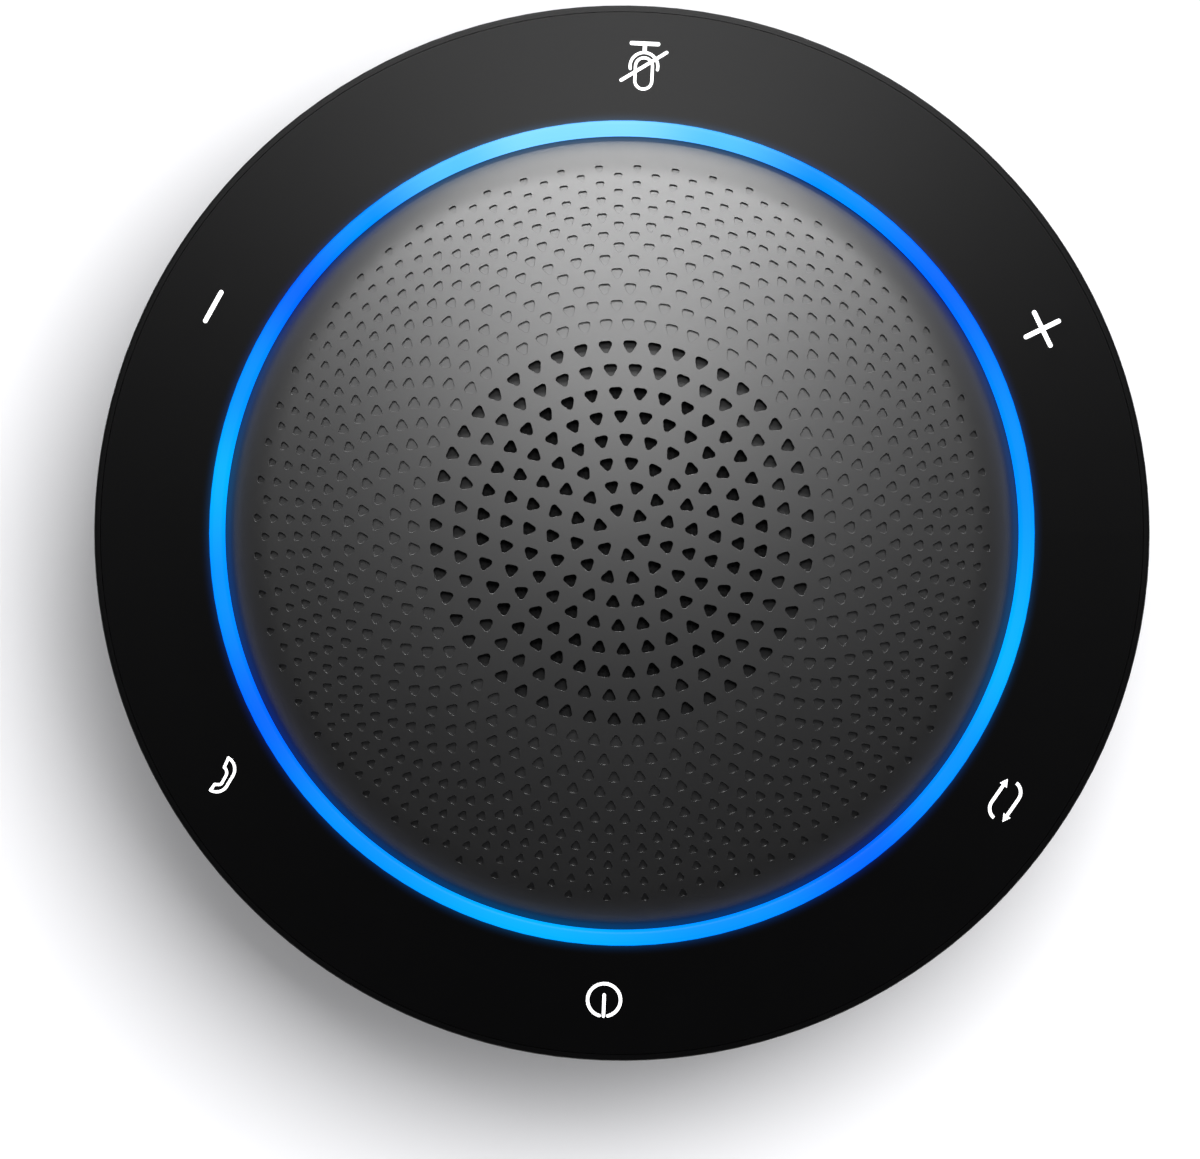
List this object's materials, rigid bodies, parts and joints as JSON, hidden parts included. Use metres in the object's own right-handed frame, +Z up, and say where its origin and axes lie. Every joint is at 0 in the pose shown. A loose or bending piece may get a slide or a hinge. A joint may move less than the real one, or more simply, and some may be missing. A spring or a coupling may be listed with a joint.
{
  "type": "conference speakerphone",
  "caption": "Round table speakerphone with a perforated speaker dome, a glowing light ring, a sloped touch band of call and volume icons, and a radio dongle stored in its base.",
  "frame": {"origin": "centre of the foot ring's underside, on the table", "axes": "+Z up out of the speaker dome, +Y towards the mute icon and the charging port, -Y towards the power icon and the stored dongle, +X towards the volume-up icon"},
  "size_m": [0.104, 0.104, 0.036],
  "materials": {
    "band_plastic": "satin moulded, near black",
    "housing_plastic": "fine matt texture",
    "grille_plastic": "matt grey, perforated",
    "icon_white": "white inlay, flush",
    "light_guide": "milky light guide, lit blue in use",
    "foot_rubber": "soft matt",
    "mesh_fabric": "fine black acoustic mesh",
    "circuit_board": "green solder mask",
    "film": "amber polyimide film",
    "led_white": "lamp bodies",
    "chip_black": "moulded packages",
    "shield_steel": "tinned sheet",
    "capacitor_can": "bright cans",
    "speaker_frame": "glass-filled plastic",
    "ferrite": "ground ferrite",
    "pole_steel": "zinc plated",
    "coil_copper": "enamelled copper winding",
    "former_film": "polyimide former",
    "paper_cone": "coated pulp",
    "cloth_spider": "treated cloth",
    "soft_rubber": "butyl surround",
    "foam": "closed-cell foam",
    "cell_wrap": "laminated pouch",
    "screw_steel": "black-zinc screws",
    "port_steel": "stainless shell",
    "plug_gold": "pale gold plated shell",
    "plug_insulator": "white insulator",
    "contact_gold": "gold plated contacts",
    "dongle_plastic": "satin dark grey",
    "wire": "insulated wire"
  },
  "bodies": {
    "housing": {"mute_icon": "icon_white", "volume_up_icon": "icon_white", "pair_icon": "icon_white", "power_icon": "icon_white", "call_icon": "icon_white", "volume_down_icon": "icon_white", "control_ring": "band_plastic", "touch_sensor": "film", "light_ring": "light_guide", "led_board": "circuit_board", "leds": "led_white", "grille_dome": "grille_plastic", "acoustic_mesh": "mesh_fabric", "upper_housing": "housing_plastic", "mic_boots": "soft_rubber", "mic_boards": "circuit_board", "speaker_gasket": "foam", "speaker_basket": "speaker_frame", "speaker_screws": "screw_steel", "speaker_top_plate": "pole_steel", "speaker_magnet": "ferrite", "speaker_yoke": "pole_steel", "spider": "cloth_spider", "surround": "soft_rubber", "speaker_terminal": "circuit_board", "speaker_leads": "wire", "main_board": "circuit_board", "audio_processor": "chip_black", "power_amplifier": "chip_black", "wireless_module": "circuit_board", "wireless_shield": "shield_steel", "capacitors": "capacitor_can", "usb_port": "port_steel", "usb_tongue": "chip_black", "battery_pad": "foam", "battery": "cell_wrap", "battery_connector": "plug_insulator", "base_shell": "housing_plastic", "foot_ring": "foot_rubber", "housing_screws": "screw_steel"},
    "diaphragm": {"cone": "paper_cone", "dust_cap": "paper_cone", "coil_former": "former_film", "voice_coil": "coil_copper"},
    "dongle": {"dongle_shell": "plug_gold", "dongle_tongue": "plug_insulator", "dongle_contacts": "contact_gold", "dongle_body": "dongle_plastic", "dongle_cap": "dongle_plastic", "dongle_board": "circuit_board", "dongle_radio": "chip_black"}
  },
  "joints": [
    {"name": "diaphragm_travel", "type": "slide", "parent": "housing", "child": "diaphragm", "axis": [0, 0, 1], "range_m": [-0.0012, 0.0012], "stiffness_N_per_m": 300, "deforming": ["surround", "spider"]},
    {"name": "dongle_slide", "type": "slide", "parent": "housing", "child": "dongle", "axis": [0, -1, 0], "range_m": [0, 0.0205]}
  ]
}
